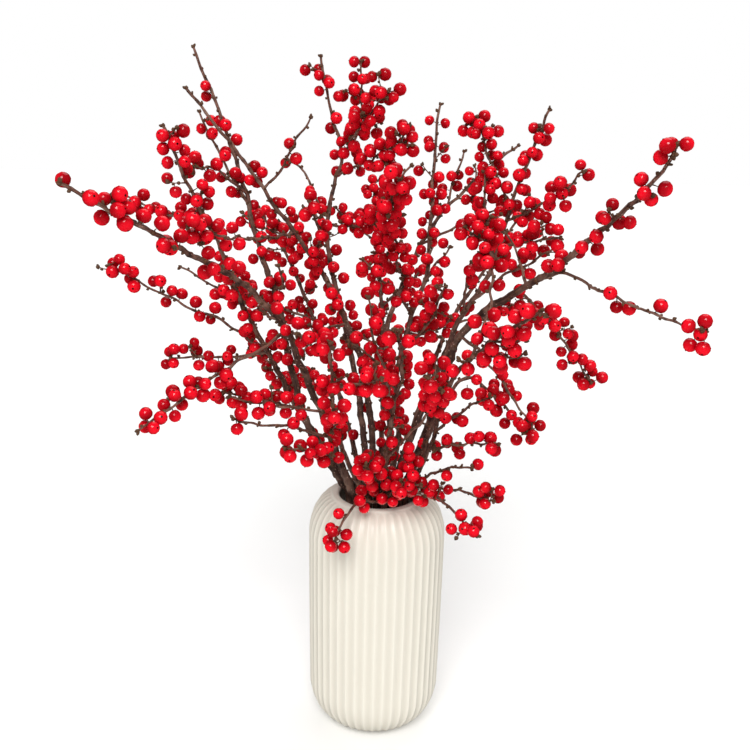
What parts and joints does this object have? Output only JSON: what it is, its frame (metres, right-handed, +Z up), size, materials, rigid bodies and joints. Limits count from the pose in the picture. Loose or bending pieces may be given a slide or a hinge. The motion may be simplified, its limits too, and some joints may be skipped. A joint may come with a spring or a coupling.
{
  "type": "winterberry holly branches in fluted vase",
  "caption": "Bare brown winterberry holly branches, thick with round red berries, fanning out of a tall ivory fluted ceramic vase.",
  "frame": {"origin": "centre of the vase's foot, on the surface it stands on", "axes": "+Z up through the mouth of the vase, +X to the right seen from the front, the front faces -Y"},
  "size_m": [0.4207, 0.4222, 0.5603],
  "materials": {
    "ivory_glaze": "satin glaze",
    "bark": "matt bark",
    "berry_skin": "smooth waxy skin"
  },
  "bodies": {
    "root": {"vase": "ivory_glaze", "branch_back": "bark", "branch_back_left": "bark", "branch_back_right": "bark", "branch_centre_back": "bark", "branch_diagonal": "bark", "branch_far_left": "bark", "branch_far_right": "bark", "branch_front": "bark", "branch_front_left": "bark", "branch_left": "bark", "branch_left_back": "bark", "branch_left_rear": "bark", "branch_right_front": "bark", "branch_right_low": "bark", "branch_right_tall": "bark", "branch_spike": "bark"}
  },
  "joints": []
}
